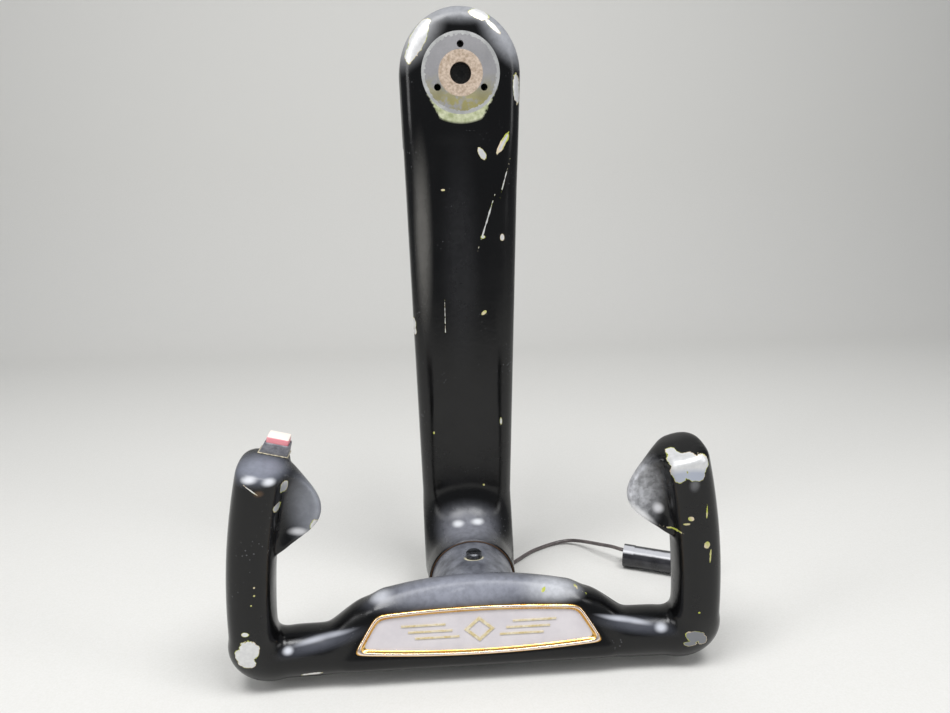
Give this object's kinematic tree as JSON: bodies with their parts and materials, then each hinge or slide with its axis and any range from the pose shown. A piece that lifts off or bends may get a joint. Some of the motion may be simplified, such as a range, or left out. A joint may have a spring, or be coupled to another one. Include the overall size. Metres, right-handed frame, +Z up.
{
  "type": "aircraft control column",
  "caption": "Hollow tapered control arm with a U-shaped control wheel on its lower shaft, a chain drive inside, a talk button on the left horn and a short cable with a connector.",
  "frame": {"origin": "centre of the column bore's mouth, on the rear boss at the top of the arm", "axes": "+Z up the arm away from the wheel, +Y out of the column bore towards the instrument panel, +X to the pilot's right"},
  "size_m": [0.326, 0.1703, 0.3966],
  "materials": {
    "black_enamel": "gloss",
    "worn_collar": "satin",
    "machined_steel": "machined",
    "rusty_steel": "matte",
    "bronze": "machined",
    "oiled_steel": "satin",
    "zinc_steel": "satin",
    "gilt": "polished",
    "silver_plate": "pearl",
    "dark_plastic": "matte",
    "red_plastic": "satin",
    "brass": "bright",
    "black_rubber": "matte",
    "cable_pvc": "satin",
    "plug_plastic": "gloss",
    "brown_phenolic": "gloss"
  },
  "bodies": {
    "arm": {"arm_casting": "black_enamel", "back_cover": "black_enamel", "cover_screws": "zinc_steel", "hub_plate": "machined_steel", "hub_front_bush": "rusty_steel", "hub_rear_bush": "bronze", "column_bush": "bronze", "control_chain": "oiled_steel", "shaft_front_bush": "bronze", "shaft_rear_bush": "bronze", "cable_grommet": "black_rubber", "cable": "cable_pvc", "plug_rear_cap": "plug_plastic", "plug_barrel": "plug_plastic", "plug_insert": "brown_phenolic", "plug_contacts": "brass"},
    "wheel": {"wheel_shaft": "oiled_steel", "wheel_sprocket": "oiled_steel", "sprocket_key": "oiled_steel", "sprocket_washer": "zinc_steel", "sprocket_nut": "zinc_steel", "wheel_collar": "worn_collar", "collar_screw": "zinc_steel", "wheel_pin": "zinc_steel", "wheel_casting": "black_enamel", "badge_bezel": "gilt", "badge_plate": "silver_plate", "badge_ornament": "gilt", "ptt_housing": "dark_plastic", "ptt_spring": "zinc_steel", "ptt_switch": "dark_plastic", "ptt_terminals": "brass", "ptt_lead": "cable_pvc"},
    "talk_button": {"ptt_button": "red_plastic"},
    "hub_drive": {"hub_sprocket": "oiled_steel"}
  },
  "joints": [
    {"name": "wheel_turn", "type": "hinge", "parent": "arm", "child": "wheel", "pos_m": [0, -0.06, -0.325], "axis": [0, 1, 0], "range_deg": [-75, 75]},
    {"name": "hub_sprocket_turn", "type": "hinge", "parent": "arm", "child": "hub_drive", "pos_m": [0, -0.025, 0], "axis": [0, 1, 0], "range_deg": [-75.5, 75.5]},
    {"name": "talk_button_press", "type": "slide", "parent": "wheel", "child": "talk_button", "axis": [-0.2452, 0, -0.9695], "range_m": [0, 0.0015], "stiffness_N_per_m": 700, "springref_m": -0.002, "deforming": ["ptt_spring"]}
  ],
  "couplings": [
    {"joint": "hub_sprocket_turn", "follows": "wheel_turn", "ratio": 1}
  ]
}
